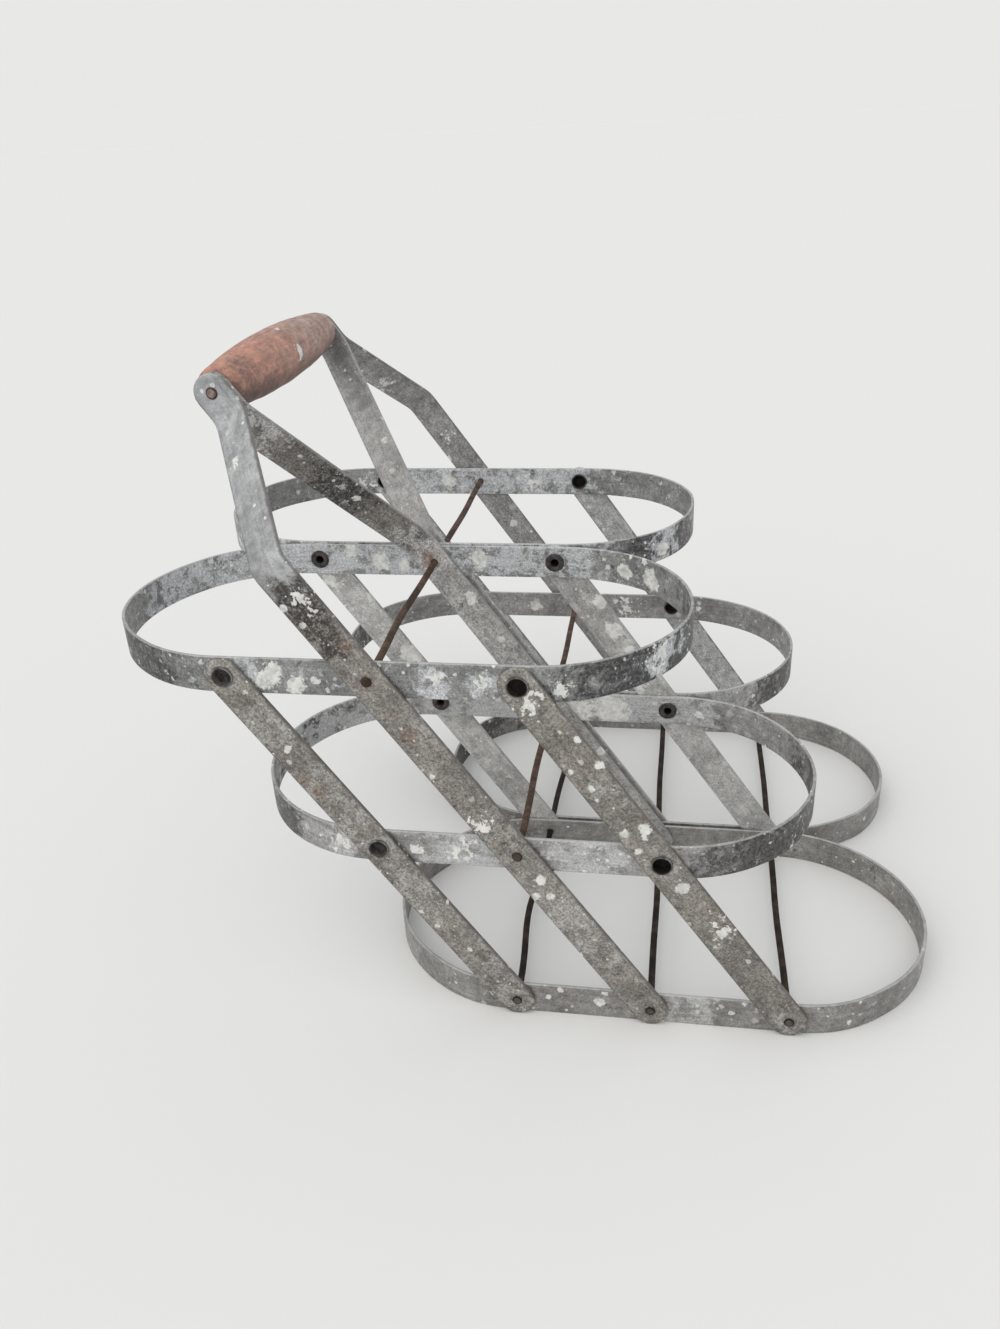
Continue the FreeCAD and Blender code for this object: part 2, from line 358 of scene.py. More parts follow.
def between(tree, value, low, high, start=0.0, end=1.0):
    """The value eased from start at low to end at high."""
    settings = {"Value": value, "From Min": low, "From Max": high, "To Min": start, "To Max": end}
    return add_node(tree, "MapRange", settings, interpolation_type="SMOOTHSTEP").outputs[0]


def reckon(tree, operation, first, second=0.0):
    """One sum on two values."""
    return add_node(tree, "Math", {0: first, 1: second}, operation=operation).outputs[0]


def leaning(tree, value, amount, pull):
    """The value pushed up where an amount is over a half, and down where it is under."""
    push = reckon(tree, "MULTIPLY", reckon(tree, "SUBTRACT", amount, 0.5), pull)
    return reckon(tree, "ADD", value, push)


def tint(tree, share, first, second, way="MIX"):
    """Two colours blended by a share."""
    settings = {0: share, 6: first, 7: second}
    return add_node(tree, "Mix", settings, data_type="RGBA", blend_type=way).outputs[2]


def toned(tree, color, value, span, share=1.0):
    """A colour made darker and lighter by a value that is eased over a span."""
    return tint(tree, share, color, between(tree, value, *span), "MULTIPLY")


def relief(tree, height, strength, depth):
    """The direction that the surface faces once small bumps of a depth in metres are on it."""
    settings = {"Strength": strength, "Distance": depth, "Height": height}
    return add_node(tree, "Bump", settings).outputs["Normal"]


def new_group(name, inputs, outputs):
    """An empty node group with named sockets: its tree, what comes in and what goes out."""
    tree = bpy.data.node_groups.new(name, "ShaderNodeTree")
    for label, kind in inputs.items():
        tree.interface.new_socket(label, in_out="INPUT", socket_type="NodeSocket" + kind)
    for label, kind in outputs.items():
        tree.interface.new_socket(label, in_out="OUTPUT", socket_type="NodeSocket" + kind)
    return tree, tree.nodes.new("NodeGroupInput").outputs, tree.nodes.new("NodeGroupOutput").inputs


def use_group(tree, group, inputs):
    """What a node group gives for its inputs."""
    return add_node(tree, "Group", inputs, node_tree=group).outputs


def new_material(name):
    """A material with its node tree and the sockets of its shader."""
    material = bpy.data.materials.new(name)
    material.use_nodes = True
    return material, material.node_tree, material.node_tree.nodes["Principled BSDF"].inputs


patina_patterns = {
    "mottle": {"size": 0.0036, "shift": (3, 1, 7), "detail": 6, "roughness": 0.7},
    "broad": {"size": 0.020, "shift": (9, 4, 2), "detail": 3},
    "soot_and_shade": {"size": 0.0055, "shift": (11, 5, 2), "detail": 8, "roughness": 0.8, "distortion": 0.4},
    "speckle": {"size": 0.0016, "shift": (1, 6, 3), "detail": 4, "roughness": 0.75},
    "chalk": {"size": 0.0055, "detail": 8, "roughness": 0.74, "distortion": 0.3},
    "stain": {"size": 0.014, "shift": (6, 2, 13), "detail": 6, "roughness": 0.68},
    "grain": {"size": 0.0007, "detail": 3, "roughness": 0.7},
    "pepper": {"size": 0.0011, "shift": (2, 9, 4), "detail": 3},
    "salt": {"size": 0.0012, "shift": (8, 3, 6), "detail": 3},
}
streak_pattern = {"size": 0.0011, "stretch": (0.07, 1, 1), "detail": 4, "roughness": 0.65}
# A span holds what between takes: low, high, start and end
patina_spans = {
    "mottle": (0.34, 0.66, 0.82, 1.20),
    "broad": (0.35, 0.65, 0.84, 1.16),
    "soot_and_shade": (0.46, 0.64),
    "speckle": (0.46, 0.60, 0.95),
    "thinnest": (0.4, 0.9, 0.70, 0.28),
    "stain": (0.45, 0.70, 0.0, 0.7),
    "streaks": (0.3, 0.7, 0.88, 1.10),
    "grain": (0.34, 0.66, 0.55, 1.42),
    "pepper": (0.60, 0.65),
    "salt": (0.635, 0.68),
    "roughness": (0.2, 1.4, 0.46, 0.74),
}
soot_and_shade_pull = 0.45
stain_pull = 0.5
bloom_level = 0.66
bloom_pull = 0.30
bloom_fade = 0.11
bloom_cover_share = 0.82
grit_shares = {"pepper": 0.6, "salt": 0.8}
pepper_depth_share = 0.6
bloom_height_share = 0.4


def zinc_patina_group():
    """Old galvanising: mottled grey with rust stain, dark grime that is partly painted shade, pale bloom,
    streaks and fine grit.
    """
    tree, given, result = new_group(
        "zinc_patina",
        {"Place": "Vector", "Strip": "Vector", "Pale": "Color", "Dull": "Color", "Dark": "Color",
         "Stain": "Color", "Bloom": "Float", "Grime_And_Shade": "Float", "Rust": "Float", "Grit": "Float"},
        {"Color": "Color", "Roughness": "Float", "Height": "Float"},
    )
    marks = clouds(tree, given["Place"], patina_patterns)
    marks["streaks"] = cloud(tree, given["Strip"], **streak_pattern)
    color = given["Dull"]
    for mark in ("mottle", "broad"):
        color = toned(tree, color, marks[mark], patina_spans[mark])
    # Dark soot from the grime amount: real grime all over, and a painted shade at the grime spots.
    soot_and_shade = leaning(tree, marks["soot_and_shade"], given["Grime_And_Shade"], soot_and_shade_pull)
    thinnest = between(tree, given["Grit"], *patina_spans["thinnest"])
    thinned = between(tree, marks["speckle"], *patina_spans["speckle"], thinnest)
    soot_and_shade = reckon(tree, "MULTIPLY", between(tree, soot_and_shade, *patina_spans["soot_and_shade"]), thinned)
    color = tint(tree, soot_and_shade, color, given["Dark"])
    level = reckon(tree, "SUBTRACT", bloom_level, reckon(tree, "MULTIPLY", given["Bloom"], bloom_pull))
    full_level = reckon(tree, "ADD", level, bloom_fade)
    bloom = between(tree, marks["chalk"], level, full_level, end=bloom_cover_share)
    color = tint(tree, bloom, color, given["Pale"])
    stain = leaning(tree, marks["stain"], given["Rust"], stain_pull)
    color = tint(tree, between(tree, stain, *patina_spans["stain"]), color, given["Stain"])
    color = toned(tree, color, marks["streaks"], patina_spans["streaks"])
    color = toned(tree, color, marks["grain"], patina_spans["grain"], given["Grit"])
    specks = {}
    for mark, tone in (("pepper", given["Dark"]), ("salt", given["Pale"])):
        share = reckon(tree, "MULTIPLY", given["Grit"], grit_shares[mark])
        specks[mark] = reckon(tree, "MULTIPLY", between(tree, marks[mark], *patina_spans[mark]), share)
        color = tint(tree, specks[mark], color, tone)
    rough = reckon(tree, "ADD", bloom, marks["grain"])
    pits = reckon(tree, "MULTIPLY", specks["pepper"], pepper_depth_share)
    height = reckon(tree, "SUBTRACT", marks["grain"], pits)
    height = reckon(tree, "ADD", height, reckon(tree, "MULTIPLY", bloom, bloom_height_share))
    rough = between(tree, rough, *patina_spans["roughness"])
    feed(tree, result, {"Color": color, "Roughness": rough, "Height": height})
    return tree


def nearness_group():
    """How near the surface is to one spot: 1 at the spot, falling to 0 at its reach."""
    tree, given, result = new_group(
        "near_a_spot", {"Place": "Vector", "Spot": "Vector", "Reach": "Float"}, {"Nearness": "Float"}
    )
    distance = add_node(tree, "VectorMath", {0: given["Place"], 1: given["Spot"]}, operation="DISTANCE")
    share = reckon(tree, "DIVIDE", distance.outputs["Value"], given["Reach"])
    share = add_node(tree, "Math", {0: 1.0, 1: share}, operation="SUBTRACT", use_clamp=True)
    feed(tree, result, {"Nearness": share.outputs[0]})
    return tree


old_paint = (0.76, 0.755, 0.72, 1)
paint_patterns = {
    "flake": {"size": 0.0032, "shift": (5, 8, 1), "detail": 6, "distortion": 0.3},
    "lobes": {"size": 0.0045, "detail": 3},
    "ragged": {"size": 0.0012, "detail": 3},
    "worn": {"size": 0.0022, "shift": (7, 7, 2), "detail": 6},
    "dirt": {"size": 0.003, "shift": (2, 5, 9), "detail": 6, "roughness": 0.7},
}
paint_spans = {
    "blob": (0.45, 0.62),
    "worn": (0.34, 0.58, 0.55),
    "cover": (0.0, 1.0, 0.35, 0.95),
    "dirt": (0.35, 0.62, 0.78, 1.05),
}
least_flakes = 0.001
flake_level = 0.72
flake_pull = 0.30
flake_fade = 0.02
lobe_pull = 1.1
ragged_pull = 0.6
speck_cell = 0.0024
spatter_cell = 0.0017
spatter_share = 0.5
drop_size_shares = {"drops": (0.12, 0.34), "specks": (0.12, 0.30), "spatter": (0.10, 0.40)}
drop_size_power = 1.5
drop_core_share = 0.8
paint_base_height = 0.6


def paint_splash_group():
    """White paint: ragged flakes with fine spatter, round blobs, and stray drops all over."""
    tree, given, result = new_group(
        "paint_splashes",
        {"Place": "Vector", "Flakes": "Float", "Blobs": "Float", "Scatter": "Float", "Drop": "Float"},
        {"Color": "Color", "Mask": "Float", "Height": "Float"},
    )
    marks = clouds(tree, given["Place"], paint_patterns)
    level = reckon(tree, "SUBTRACT", flake_level, reckon(tree, "MULTIPLY", given["Flakes"], flake_pull))
    flake = between(tree, marks["flake"], level, reckon(tree, "ADD", level, flake_fade))
    mask = reckon(tree, "MULTIPLY", flake, reckon(tree, "GREATER_THAN", given["Flakes"], least_flakes))
    blob = leaning(tree, given["Blobs"], marks["lobes"], lobe_pull)
    blob = between(tree, leaning(tree, blob, marks["ragged"], ragged_pull), *paint_spans["blob"])
    worn = between(tree, marks["worn"], *paint_spans["worn"])
    mask = reckon(tree, "MAXIMUM", mask, reckon(tree, "MULTIPLY", blob, worn))
    cells_and_shares = {
        "drops": (given["Drop"], given["Scatter"]),
        "specks": (speck_cell, given["Scatter"]),
        "spatter": (spatter_cell, reckon(tree, "MULTIPLY", given["Flakes"], spatter_share)),
    }
    for kind, (cell, share) in cells_and_shares.items():
        scale = reckon(tree, "DIVIDE", 1.0, cell)
        cells = add_node(tree, "TexVoronoi", {"Vector": given["Place"], "Scale": scale})
        chances = add_node(tree, "SeparateColor", {0: cells.outputs["Color"]}).outputs
        size = reckon(tree, "POWER", chances[1], drop_size_power)
        size = between(tree, size, 0.0, 1.0, *drop_size_shares[kind])
        distance = leaning(tree, cells.outputs["Distance"], marks["ragged"], ragged_pull)
        drop = between(tree, distance, reckon(tree, "MULTIPLY", size, drop_core_share), size, 1.0, 0.0)
        drop = reckon(tree, "MULTIPLY", drop, reckon(tree, "LESS_THAN", chances[0], share))
        drop = reckon(tree, "MULTIPLY", drop, between(tree, chances[2], *paint_spans["cover"]))
        mask = reckon(tree, "MAXIMUM", mask, drop)
    height = reckon(tree, "MULTIPLY", mask, reckon(tree, "ADD", marks["ragged"], paint_base_height))
    color = toned(tree, old_paint, marks["dirt"], paint_spans["dirt"])
    feed(tree, result, {"Color": color, "Mask": mask, "Height": height})
    return tree


edge_pattern = {"size": 0.004, "detail": 6, "roughness": 0.75}
edge_pull = 3
edge_full_share = 1.02


def rubbed_and_shaded_edge_group():
    """The long edges of a strip: on the hoops rubbed bright by handling, on the straps a painted shade of
    their shadowed side faces.
    """
    tree, given, result = new_group(
        "rubbed_and_shaded_edges",
        {"Place": "Vector", "Strip": "Vector", "Half Width": "Float", "Reach": "Float"},
        {"Mask": "Float"},
    )
    across = add_node(tree, "SeparateXYZ", {0: given["Strip"]}).outputs[1]
    share = reckon(tree, "DIVIDE", reckon(tree, "ABSOLUTE", across), given["Half Width"])
    broken = cloud(tree, given["Place"], **edge_pattern)
    share = leaning(tree, share, broken, reckon(tree, "MULTIPLY", given["Reach"], edge_pull))
    begin = reckon(tree, "SUBTRACT", 1.0, given["Reach"])
    feed(tree, result, {"Mask": between(tree, share, begin, edge_full_share)})
    return tree


zinc_patina = zinc_patina_group()
near_a_spot = nearness_group()
paint_splashes = paint_splash_group()
rubbed_and_shaded_edges = rubbed_and_shaded_edge_group()


def nearest(tree, place, spots):
    """The highest nearness to any of the spots, each given as a place and a reach."""
    highest = 0.0
    for *spot, reach in spots.values():
        near = use_group(tree, near_a_spot, {"Place": place, "Spot": spot, "Reach": reach})
        highest = reckon(tree, "MAXIMUM", near["Nearness"], highest)
    return highest


ragged_end_size = 0.006
spot_strength = 0.55
full_nearness = {"bloom": 0.6, "grime_and_shade": 0.8, "rust": 0.6}
edge_cover_share = 0.75
paint_roughness = 0.8
zinc_metallic = 0.5
paint_lift = 1.5
zinc_bumps = {"strength": 0.35, "depth": 0.0002}


def zinc_strip_material(name, look):
    """Galvanised strip in its own tones, with paint, bloom, grime and rust at its own spots; the grime is
    partly a painted shade.

    A look with an upper part changes its tones at that distance along the strip."""
    material, tree, surface = new_material(name)
    place = add_node(tree, "TexCoord").outputs["Object"]
    strip = add_node(tree, "UVMap", uv_map="strip").outputs["UV"]
    tones = {tone.title(): look[tone] for tone in ("pale", "dull", "dark", "stain")}
    amounts = {effect: look[effect] for effect in ("bloom", "grime_and_shade", "rust", "grit")}
    if "upper" in look:
        upper = look["upper"]
        along = add_node(tree, "SeparateXYZ", {0: strip}).outputs[0]
        along = leaning(tree, along, cloud(tree, place, ragged_end_size), upper["fade"])
        share = between(tree, along, upper["start"], upper["start"] + upper["fade"])
        tones["Dull"] = tint(tree, share, look["dull"], upper["dull"])
        for effect in ("bloom", "grime_and_shade", "grit"):
            amounts[effect] = between(tree, share, 0.0, 1.0, amounts[effect], upper[effect])
    for effect, full_at in full_nearness.items():
        near = nearest(tree, place, look.get(f"{effect}_spots", {}))
        more = between(tree, near, 0.0, full_at, 0.0, spot_strength)
        amounts[effect] = reckon(tree, "ADD", amounts[effect], more)
    amounts = {effect.title(): amount for effect, amount in amounts.items()}
    zinc = use_group(tree, zinc_patina, {"Place": place, "Strip": strip, **tones, **amounts})
    edge = use_group(
        tree, rubbed_and_shaded_edges,
        {"Place": place, "Strip": strip, "Half Width": strip_width / 2, "Reach": look["edge_share"]},
    )
    paint = use_group(
        tree, paint_splashes,
        {"Place": place, "Scatter": look["scatter"], "Drop": look["drop"],
         "Flakes": nearest(tree, place, look.get("flake_spots", {})),
         "Blobs": nearest(tree, place, look.get("blob_spots", {}))},
    )
    # Edge tone: rubbed bright on the hoops, a painted shade on the straps.
    rubbed_and_shaded = reckon(tree, "MULTIPLY", edge["Mask"], edge_cover_share)
    color = tint(tree, rubbed_and_shaded, zinc["Color"], look["edge"])
    rough = add_node(tree, "Mix", {0: paint["Mask"], 2: zinc["Roughness"], 3: paint_roughness})
    lift = reckon(tree, "MULTIPLY", paint["Height"], paint_lift)
    feed(tree, surface, {
        "Base Color": tint(tree, paint["Mask"], color, paint["Color"]),
        "Roughness": rough.outputs[0],
        "Metallic": between(tree, paint["Mask"], 0.0, 1.0, zinc_metallic, 0.0),
        "Normal": relief(tree, reckon(tree, "ADD", zinc["Height"], lift), **zinc_bumps),
    })
    return material


def knocked_loops(middle, half_side):
    """How far a hoop's loops are knocked out of true; its pivoted sides stay flat."""

    def knock(place, outward):
        share = (abs(place.x - middle.x) - half_side) / loop_knock_ease
        share = min(1, max(0, share))
        here = place / loop_knock_length
        dent = outward * -abs(noise.noise(here)) * loop_knock_in
        lift = upright * abs(noise.noise(here + middle / loop_knock_ease)) * loop_knock_up
        return (dent + lift) * share * share

    return knock


for tier, centre in tier_centres.items():
    hoop_zinc = zinc_strip_material(f"{tier}_hoop_zinc", hoop_looks[tier])
    side_hole = wire_hole_radius if tier == "bottom" else rivet_hole_radius
    hole_radii = {-1: side_hole, 0: wire_hole_radius, 1: side_hole}
    for row in ("front", "back"):
        node = f"{tier}_{row}_hoop"
        low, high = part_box(node)
        radius = (high[1] - low[1]) / 2 - band_thickness / 2
        half_side = (high[0] - low[0] - high[1] + low[1]) / 2
        middle = Vector((centre.x, (low[1] + high[1]) / 2, centre.z))
        left = middle - Vector((half_side + radius, 0, 0))
        right = middle + Vector((half_side + radius, 0, 0))
        ahead = Vector((0, radius, 0))
        corners = [left, left - ahead, right - ahead, right + ahead, left + ahead, left]
        length, at = route_through(corners, radius)
        side_middle = radius * math.pi / 2 + half_side
        near_side = [(side_middle + column * pivot_spacing, hole) for column, hole in hole_radii.items()]
        far_side = [(length - place, hole) for place, hole in reversed(near_side)]
        sheet = punched_sheet(strip_width, near_side + far_side, (0, length))
        knock = knocked_loops(middle, half_side)
        hoop = strip_piece(f"{node}_strip", sheet, band_thickness, band_edge_round, at, upright, knock)
        fit_piece(hoop, node, hoop_zinc)

# Side straps
# Six flat straps with round ends stand in the left and the right column: outside each row and
# between the rows. They are cut from thicker galvanised strip and turn on the wires and rivets.
strap_thickness = 0.0016
strap_edge_round = 0.0004
# Painted shade: the straps' long edges are darkened for their shadowed side faces and the gaps beside
# them.
painted_shade_edge = {"edge": (0.13, 0.122, 0.112, 1), "edge_share": 0.13}
strap_looks = {
    "front": {
        "pale": (0.43, 0.42, 0.40, 1), "dull": (0.250, 0.234, 0.213, 1), "dark": (0.055, 0.049, 0.042, 1),
        "stain": (0.24, 0.18, 0.14, 1), "bloom": 0.20, "grime_and_shade": 0.36, "rust": 0.3, "grit": 0.85,
        "scatter": 0.36, "drop": 0.005, **painted_shade_edge,
        "blob_spots": {
            "upper right strap": (0.0202, -0.1026, 0.1158, 0.0022),
            "middle of the right strap": (0.0273, -0.1026, 0.1069, 0.0030),
            "left edge of the right strap": (0.0181, -0.1026, 0.1040, 0.0018),
            "further down the right strap": (0.0248, -0.1026, 0.0980, 0.0032),
            "left of the middle right rivet": (0.0348, -0.1026, 0.0814, 0.0035),
            "above the middle right rivet": (0.0415, -0.1026, 0.0847, 0.0035),
            "beside the middle right rivet": (0.0394, -0.1026, 0.0749, 0.0028),
            "below the middle right rivet": (0.0540, -0.1026, 0.0611, 0.0045),
        },
        "flake_spots": {
            "under the top right rivet": (0.0055, -0.1026, 0.1275, 0.010),
            "above the middle right rivet": (0.0415, -0.1026, 0.0825, 0.0055),
            "lower right strap": (0.0672, -0.1026, 0.0447, 0.008),
            "upper left strap": (-0.0737, -0.1026, 0.1077, 0.0045),
        },
        "bloom_spots": {
            "foot of the left strap": (-0.0120, -0.1026, 0.0200, 0.022),
            "middle of the right strap": (0.0300, -0.1026, 0.0950, 0.010),
            "upper left strap": (-0.0790, -0.1026, 0.1150, 0.014),
            "middle of the left strap": (-0.0620, -0.1026, 0.0900, 0.024),
            "lower left strap": (-0.0350, -0.1026, 0.0540, 0.028),
        },
        "rust_spots": {
            "upper left strap": (-0.0707, -0.1026, 0.0954, 0.004),
            "middle of the left strap": (-0.0644, -0.1026, 0.0915, 0.004),
        },
    },
    "inner": {
        "pale": (0.66, 0.66, 0.645, 1), "dull": (0.46, 0.455, 0.44, 1), "dark": (0.11, 0.105, 0.10, 1),
        "stain": (0.30, 0.25, 0.21, 1), "bloom": 0.40, "grime_and_shade": 0.32, "rust": 0.2, "grit": 0.5,
        # The darker edge tone is a painted shade of the strap's shadowed side faces.
        "scatter": 0.36, "edge": (0.30, 0.295, 0.28, 1), "edge_share": 0.08, "drop": 0.0075,
        "blob_spots": {
            "upper left strap": (-0.0890, -0.0008, 0.1235, 0.006),
            "middle of the left strap": (-0.0580, -0.0012, 0.0918, 0.009),
            "upper right strap": (0.0197, -0.0008, 0.1172, 0.006),
            "middle of the right strap": (0.0250, -0.0012, 0.1045, 0.007),
            "lower right strap": (0.0357, -0.0008, 0.0779, 0.006),
        },
    },
    "back": {
        "pale": (0.60, 0.60, 0.59, 1), "dull": (0.46, 0.462, 0.46, 1), "dark": (0.09, 0.085, 0.08, 1),
        "stain": (0.26, 0.21, 0.17, 1), "bloom": 0.38, "grime_and_shade": 0.36, "rust": 0.2, "grit": 0.6,
        "scatter": 0.30, "drop": 0.0065, **painted_shade_edge,
        "blob_spots": {
            "upper left strap": (-0.0800, 0.1026, 0.1170, 0.004),
            "lower right strap": (0.0560, 0.1026, 0.0570, 0.0045),
        },
        "flake_spots": {
            "lower left strap": (-0.0270, 0.1026, 0.0420, 0.008),
            "upper right strap": (0.0250, 0.1026, 0.1010, 0.008),
        },
    },
}
pivot_wear_reach = 0.0085
strap_line = tier_centres["top"] - tier_centres["bottom"]
strap_heading = strap_line.normalized()
strap_across = Vector((strap_heading.z, 0, -strap_heading.x))
tier_spacing = strap_line.length / 2
strap_holes = [(0, wire_hole_radius)] + [(tier * tier_spacing, rivet_hole_radius) for tier in (1, 2)]
for layer, look in strap_looks.items():
    low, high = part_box(f"{layer}_left_strap")
    bloom_spots = look.setdefault("bloom_spots", {})
    for tier, centre in tier_centres.items():
        for column in (-1, 1):
            pivot = centre.x + column * pivot_spacing, (low[1] + high[1]) / 2, centre.z
            bloom_spots[f"{tier} pivot {column}"] = *pivot, pivot_wear_reach
    strap_zinc = zinc_strip_material(f"{layer}_strap_zinc", look)
    for column in ("left", "right"):
        node = f"{layer}_{column}_strap"
        foot = joint_places[f"{column}_strap_turn"]
        start = Vector((foot.x, (low[1] + high[1]) / 2, foot.z))
        _, at = route_through([start, start + strap_line], 0)
        sheet = punched_sheet(strip_width, strap_holes)
        strap = strip_piece(f"{node}_strip", sheet, strap_thickness, strap_edge_round, at, strap_across)
        fit_piece(strap, node, strap_zinc)

# Handle straps
# The four straps of the centre column run on above the top hoops as the arms of the handle. The
# outer pair bend in and the inner pair spread out, and their tips lie together on the rod.
arm_bend_radius = 0.005
end_bend_setback = 0.009
rod_hole_radius = 0.00156
wire_rust_reach = 0.0045
arm_shapes = {
    "front": {"side": -1, "outer": True, "bend_reach": 0.201, "tip": 0.0570},
    "inner_front": {"side": -1, "outer": False, "bend_reach": 0.164, "tip": 0.0553},
    "inner_back": {"side": 1, "outer": False, "bend_reach": 0.164, "tip": 0.0553},
    "back": {"side": 1, "outer": True, "bend_reach": 0.201, "tip": 0.0570},
}
# Painted shade: the arms' long edges are darkened for their shadowed side faces and the gaps beside them.
painted_shade_arm_edge = {"edge": (0.14, 0.132, 0.122, 1), "edge_share": 0.13}
arm_looks = {
    "front": {
        "pale": (0.45, 0.44, 0.42, 1), "dull": (0.282, 0.265, 0.243, 1), "dark": (0.05, 0.045, 0.04, 1),
        "stain": (0.25, 0.182, 0.145, 1), "bloom": 0.20, "grime_and_shade": 0.38, "rust": 0.3, "grit": 0.85,
        "scatter": 0.32, "drop": 0.005, **painted_shade_arm_edge,
        "upper": {
            "start": 0.182, "fade": 0.020, "dull": (0.365, 0.37, 0.38, 1),
            "grit": 0.25, "bloom": 0.1, "grime_and_shade": 0.05,
        },
        "blob_spots": {
            "left edge below the bend": (-0.0674, -0.1026, 0.1575, 0.0025),
            "further below the bend": (-0.0622, -0.1026, 0.1520, 0.0022),
            "upper left edge": (-0.0263, -0.1026, 0.0997, 0.0025),
            "high below the middle tier": (0.0078, -0.1026, 0.0610, 0.0035),
            "left below the middle tier": (0.0060, -0.1026, 0.0537, 0.0030),
            "right below the middle tier": (0.0108, -0.1026, 0.0541, 0.0030),
            "on the tip": (-0.0986, -0.0578, 0.2144, 0.002),
        },
        "flake_spots": {
            "below the bend": (-0.0619, -0.1026, 0.1609, 0.0048),
            "lower below the bend": (-0.0585, -0.1026, 0.1565, 0.0040),
            "above the middle tier": (-0.0111, -0.1026, 0.0816, 0.009),
            "below the middle tier": (0.0078, -0.1026, 0.0595, 0.0045),
            "right edge of the arm": (-0.0890, -0.0730, 0.1920, 0.0045),
        },
        "bloom_spots": {"foot of the strap": (0.0230, -0.1026, 0.0380, 0.026)},
        "grime_and_shade_spots": {
            "just below the bend": (-0.0640, -0.1026, 0.1630, 0.016),
            "further down": (-0.0590, -0.1026, 0.1530, 0.011),
            "above the top tier": (-0.0530, -0.1026, 0.1450, 0.008),
        },
        "rust_spots": {
            "above the top tier": (-0.0497, -0.1026, 0.1456, 0.0030),
            "between the upper tiers": (-0.0322, -0.1026, 0.1145, 0.0045),
        },
    },
    "inner_front": {
        "pale": (0.60, 0.595, 0.58, 1), "dull": (0.41, 0.402, 0.385, 1), "dark": (0.05, 0.047, 0.043, 1),
        "stain": (0.25, 0.135, 0.08, 1), "bloom": 0.30, "grime_and_shade": 0.34, "rust": 0.15, "grit": 0.7,
        # The darker edge tone is a painted shade of the arm's shadowed side faces.
        "scatter": 0.30, "edge": (0.28, 0.274, 0.262, 1), "edge_share": 0.10, "drop": 0.0065,
        "upper": {
            "start": 0.150, "fade": 0.020, "dull": (0.235, 0.222, 0.203, 1),
            "grit": 1.0, "bloom": 0.30, "grime_and_shade": 0.38,
        },
        "blob_spots": {
            "near the tip": (-0.0897, -0.0529, 0.2022, 0.0035),
            "upper arm": (-0.0794, -0.0404, 0.1865, 0.002),
            "middle of the arm": (-0.0661, -0.0242, 0.1663, 0.0035),
            "between the tiers": (-0.0311, -0.0046, 0.1179, 0.006),
            "further down": (-0.0199, -0.0046, 0.1007, 0.004),
            "below the middle tier": (0.0202, -0.0046, 0.0497, 0.005),
        },
        "bloom_spots": {
            "over the top tier": (-0.0490, -0.0050, 0.1400, 0.020),
            "near the tip": (-0.0900, -0.0530, 0.2030, 0.022),
        },
        "grime_and_shade_spots": {"middle of the arm": (-0.0700, -0.0290, 0.1720, 0.022)},
        "rust_spots": {"above the top wire": (-0.0450, -0.0038, 0.1350, 0.007)},
    },
    "inner_back": {
        "pale": (0.60, 0.60, 0.59, 1), "dull": (0.48, 0.475, 0.46, 1), "dark": (0.09, 0.085, 0.08, 1),
        "stain": (0.30, 0.27, 0.24, 1), "bloom": 0.30, "grime_and_shade": 0.12, "rust": 0.1, "grit": 0.45,
        # The darker edge tone is a painted shade of the arm's shadowed side faces.
        "scatter": 0.26, "edge": (0.34, 0.335, 0.32, 1), "edge_share": 0.06, "drop": 0.007,
        "upper": {
            "start": 0.150, "fade": 0.020, "dull": (0.325, 0.323, 0.316, 1),
            "grit": 0.45, "bloom": 0.30, "grime_and_shade": 0.16,
        },
        "blob_spots": {
            "lower arm": (-0.0647, 0.0202, 0.1628, 0.003),
            "middle of the arm": (-0.0685, 0.0273, 0.1730, 0.003),
        },
    },
    "back": {
        "pale": (0.58, 0.58, 0.57, 1), "dull": (0.35, 0.345, 0.333, 1), "dark": (0.07, 0.067, 0.063, 1),
        "stain": (0.25, 0.21, 0.18, 1), "bloom": 0.28, "grime_and_shade": 0.36, "rust": 0.2, "grit": 0.7,
        "scatter": 0.14, "drop": 0.006, **painted_shade_arm_edge,
        "flake_spots": {
            "near the tip": (-0.0820, 0.0840, 0.1830, 0.012),
            "below the bend": (-0.0600, 0.1026, 0.1550, 0.006),
            "above the middle tier": (-0.0120, 0.1026, 0.0850, 0.008),
        },
    },
}
rod_reach = (joint_places["grip_spin"] - joint_places["fold"]).length
tip_bend_reach = rod_reach - end_bend_setback
for arm, shape in arm_shapes.items():
    node = f"{arm}_handle_strap"
    low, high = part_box(node)
    faces = low[1] * shape["side"], high[1] * shape["side"]
    layer = max(faces) - strap_thickness / 2 if shape["outer"] else min(faces) + strap_thickness / 2
    slope = math.atan2(shape["tip"] - layer, tip_bend_reach - shape["bend_reach"])
    miter = math.tan(slope / 2) * strap_thickness / 2
    profile = [
        (0, layer),
        (shape["bend_reach"] - miter, layer),
        (tip_bend_reach - miter, shape["tip"]),
        (rod_reach, shape["tip"]),
    ]
    corners = [
        joint_places["fold"] + strap_heading * reach + Vector((0, shape["side"] * aside, 0))
        for reach, aside in profile
    ]
    look = arm_looks[arm]
    top = tier_centres["top"]
    rust_spots = look.setdefault("rust_spots", {})
    rust_spots["top wire"] = top.x, shape["side"] * layer, top.z, wire_rust_reach
    length, at = route_through(corners, arm_bend_radius + strap_thickness / 2)
    arm_holes = [(place, wire_hole_radius) for place, _ in strap_holes] + [(length, rod_hole_radius)]
    sheet = punched_sheet(strip_width, arm_holes)
    strap = strip_piece(f"{node}_strip", sheet, strap_thickness, strap_edge_round, at, strap_across)
    fit_piece(strap, node, zinc_strip_material(f"{arm}_arm_zinc", look))

